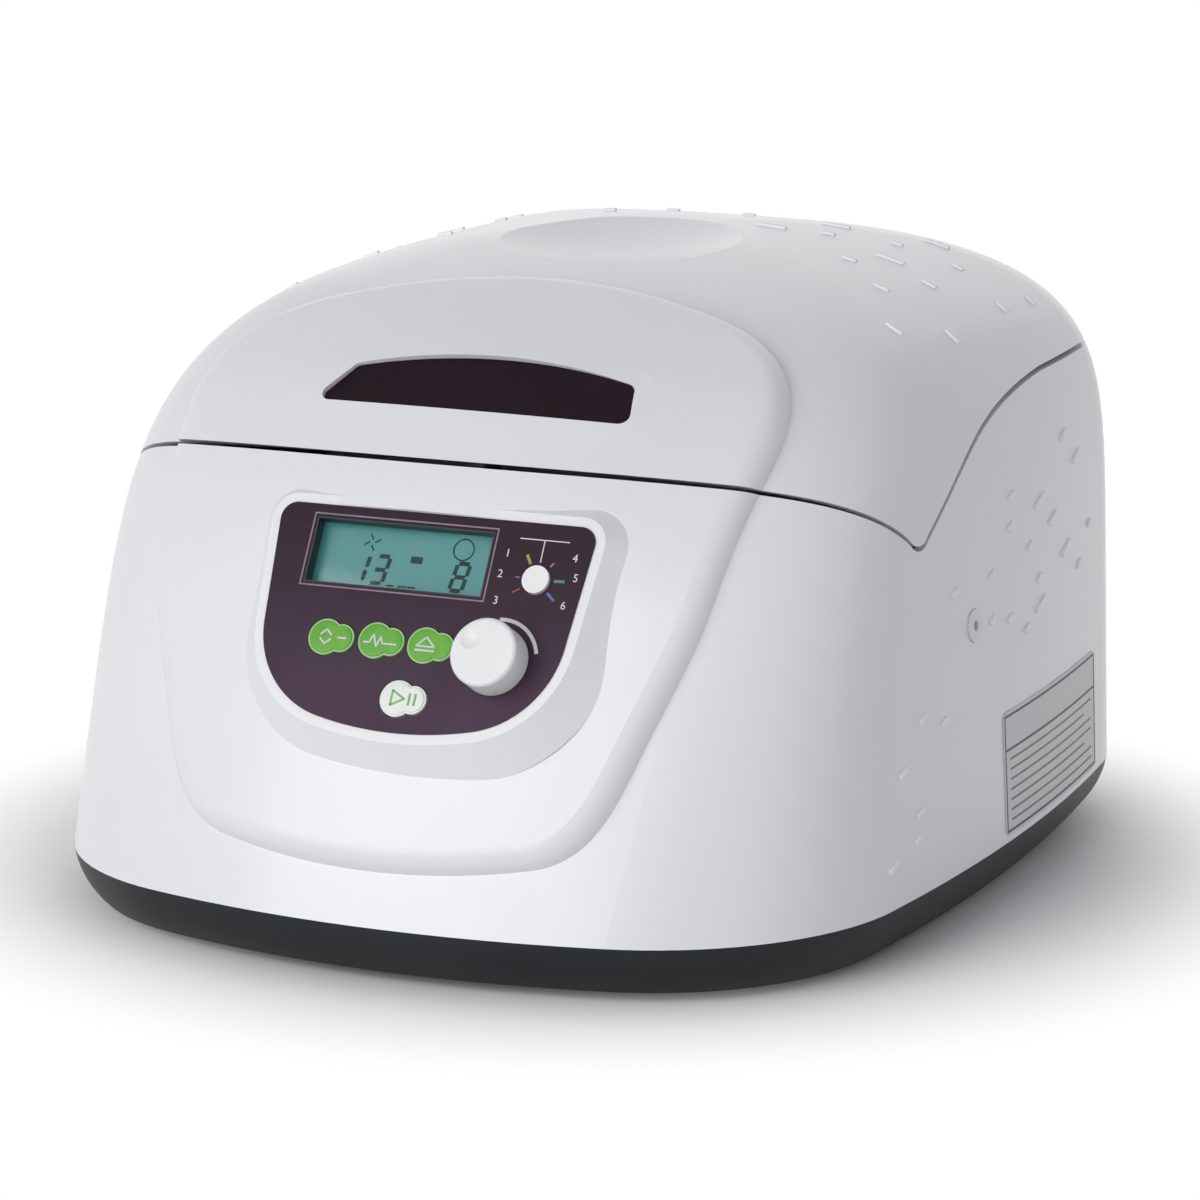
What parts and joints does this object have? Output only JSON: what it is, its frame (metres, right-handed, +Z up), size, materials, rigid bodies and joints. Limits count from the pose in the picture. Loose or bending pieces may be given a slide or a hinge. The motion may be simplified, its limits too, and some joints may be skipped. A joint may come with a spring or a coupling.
{
  "type": "laboratory centrifuge",
  "caption": "Bench centrifuge with a domed hinged lid, slanted-tube rotor, round chamber and a leaning front control panel with keys, dial and display.",
  "frame": {"origin": "on the bench, under the middle of the casing", "axes": "+Y from the control panel to the back, +Z up"},
  "size_m": [0.2752, 0.335, 0.1966],
  "materials": {
    "casing_white": "pearl gloss, moulded",
    "liner_grey": "satin, moulded",
    "deck_grey": "satin, moulded",
    "screw_steel": "zinc plated",
    "badge_aubergine": "gloss, bare",
    "spring_steel": "ground",
    "chamber_steel": "spun, fine circular grain",
    "gasket_rubber": "matt, moulded",
    "tray_charcoal": "satin, fine grain",
    "foot_rubber": "matt",
    "rotor_aluminium": "anodised",
    "sleeve_steel": "drawn tube",
    "shaft_steel": "ground",
    "knob_white": "satin gloss",
    "core_iron": "laminated",
    "motor_paint": "semi gloss paint",
    "winding_copper": "enamelled wire",
    "bearing_steel": "polished",
    "plate_steel": "zinc plated sheet",
    "hinge_steel": "powder coat",
    "lock_black": "moulded",
    "solenoid_steel": "plated",
    "overlay_aubergine": "printed film",
    "lens_clear": "clear",
    "display_teal": "backlit display",
    "board_green": "solder mask",
    "standoff_brass": "turned",
    "key_green": "silicone, satin",
    "key_pale": "silicone, satin",
    "inlet_black": "moulded",
    "pin_brass": "plated",
    "rocker_black": "gloss",
    "plug_white": "gloss",
    "label_pale": "film",
    "supply_steel": "perforated sheet",
    "sink_aluminium": "anodised"
  },
  "bodies": {
    "base": {"body_shell": "casing_white", "top_deck": "deck_grey", "deck_screws": "screw_steel", "chamber_bowl": "chamber_steel", "bowl_gasket": "gasket_rubber", "base_tray": "tray_charcoal", "rubber_feet": "foot_rubber", "base_screws": "screw_steel", "motor_can": "motor_paint", "motor_stator": "winding_copper", "upper_bearing": "bearing_steel", "lower_bearing": "bearing_steel", "motor_plate": "plate_steel", "motor_dampers": "foot_rubber", "shaft_boot": "gasket_rubber", "hinge_brackets": "hinge_steel", "hinge_pins": "shaft_steel", "hinge_screws": "screw_steel", "lock_housing": "lock_black", "lock_solenoid": "solenoid_steel", "control_overlay": "overlay_aubergine", "display_lens": "lens_clear", "display_module": "display_teal", "control_board": "board_green", "board_standoffs": "standoff_brass", "tact_switches": "lock_black", "encoder": "lock_black", "rear_panel": "tray_charcoal", "mains_inlet": "inlet_black", "inlet_pins": "pin_brass", "power_switch": "inlet_black", "side_plug": "plug_white", "side_label": "label_pale", "power_supply": "supply_steel", "driver_standoffs": "standoff_brass", "driver_board": "board_green", "driver_heatsink": "sink_aluminium"},
    "lid": {"lid_shell": "casing_white", "lid_liner": "liner_grey", "liner_screws": "screw_steel", "lid_badge": "badge_aubergine", "lid_hook": "spring_steel", "hinge_arms": "hinge_steel"},
    "rotor": {"rotor": "rotor_aluminium", "tube_sleeves": "sleeve_steel", "drive_shaft": "shaft_steel", "rotor_nut": "knob_white", "motor_armature": "core_iron"},
    "lock_bolt": {"lock_bolt": "spring_steel"},
    "select_key": {"select_key": "key_green"},
    "pulse_key": {"pulse_key": "key_green"},
    "open_key": {"open_key": "key_green"},
    "start_key": {"start_key": "key_pale"},
    "programme_key": {"programme_key": "knob_white"},
    "setting_knob": {"setting_knob": "knob_white"},
    "fuse_drawer": {"fuse_drawer": "inlet_black"},
    "power_rocker": {"power_rocker": "rocker_black"}
  },
  "joints": [
    {"name": "lid_hinge", "type": "hinge", "parent": "base", "child": "lid", "pos_m": [0, 0.1618, 0.157], "axis": [-1, 0, 0], "range_deg": [0, 78]},
    {"name": "rotor_spin", "type": "hinge", "parent": "base", "child": "rotor", "pos_m": [0, 0.038, 0.1], "axis": [0, 0, 1], "continuous": true},
    {"name": "lock_slide", "type": "slide", "parent": "base", "child": "lock_bolt", "axis": [-1, 0, 0], "range_m": [0, 0.012]},
    {"name": "select_press", "type": "slide", "parent": "base", "child": "select_key", "axis": [0, 0.8729, -0.4879], "range_m": [0, 0.0006], "stiffness_N_per_m": 600, "springref_m": -0.0002},
    {"name": "pulse_press", "type": "slide", "parent": "base", "child": "pulse_key", "axis": [0, 0.8729, -0.4879], "range_m": [0, 0.0006], "stiffness_N_per_m": 600, "springref_m": -0.0002},
    {"name": "open_press", "type": "slide", "parent": "base", "child": "open_key", "axis": [0, 0.8729, -0.4879], "range_m": [0, 0.0006], "stiffness_N_per_m": 600, "springref_m": -0.0002},
    {"name": "start_press", "type": "slide", "parent": "base", "child": "start_key", "axis": [0, 0.8729, -0.4879], "range_m": [0, 0.0006], "stiffness_N_per_m": 600, "springref_m": -0.0002},
    {"name": "programme_press", "type": "slide", "parent": "base", "child": "programme_key", "axis": [0, 0.8729, -0.4879], "range_m": [0, 0.0006], "stiffness_N_per_m": 600, "springref_m": -0.0002},
    {"name": "knob_turn", "type": "hinge", "parent": "base", "child": "setting_knob", "pos_m": [0.035, -0.15227, 0.09746], "axis": [0, -0.8729, 0.4879], "continuous": true},
    {"name": "fuse_drawer_slide", "type": "slide", "parent": "base", "child": "fuse_drawer", "axis": [0, 1, 0], "range_m": [0, 0.015]},
    {"name": "rocker_tilt", "type": "hinge", "parent": "base", "child": "power_rocker", "pos_m": [-0.004, 0.162, 0.058], "axis": [1, 0, 0], "range_deg": [0, 14]}
  ]
}
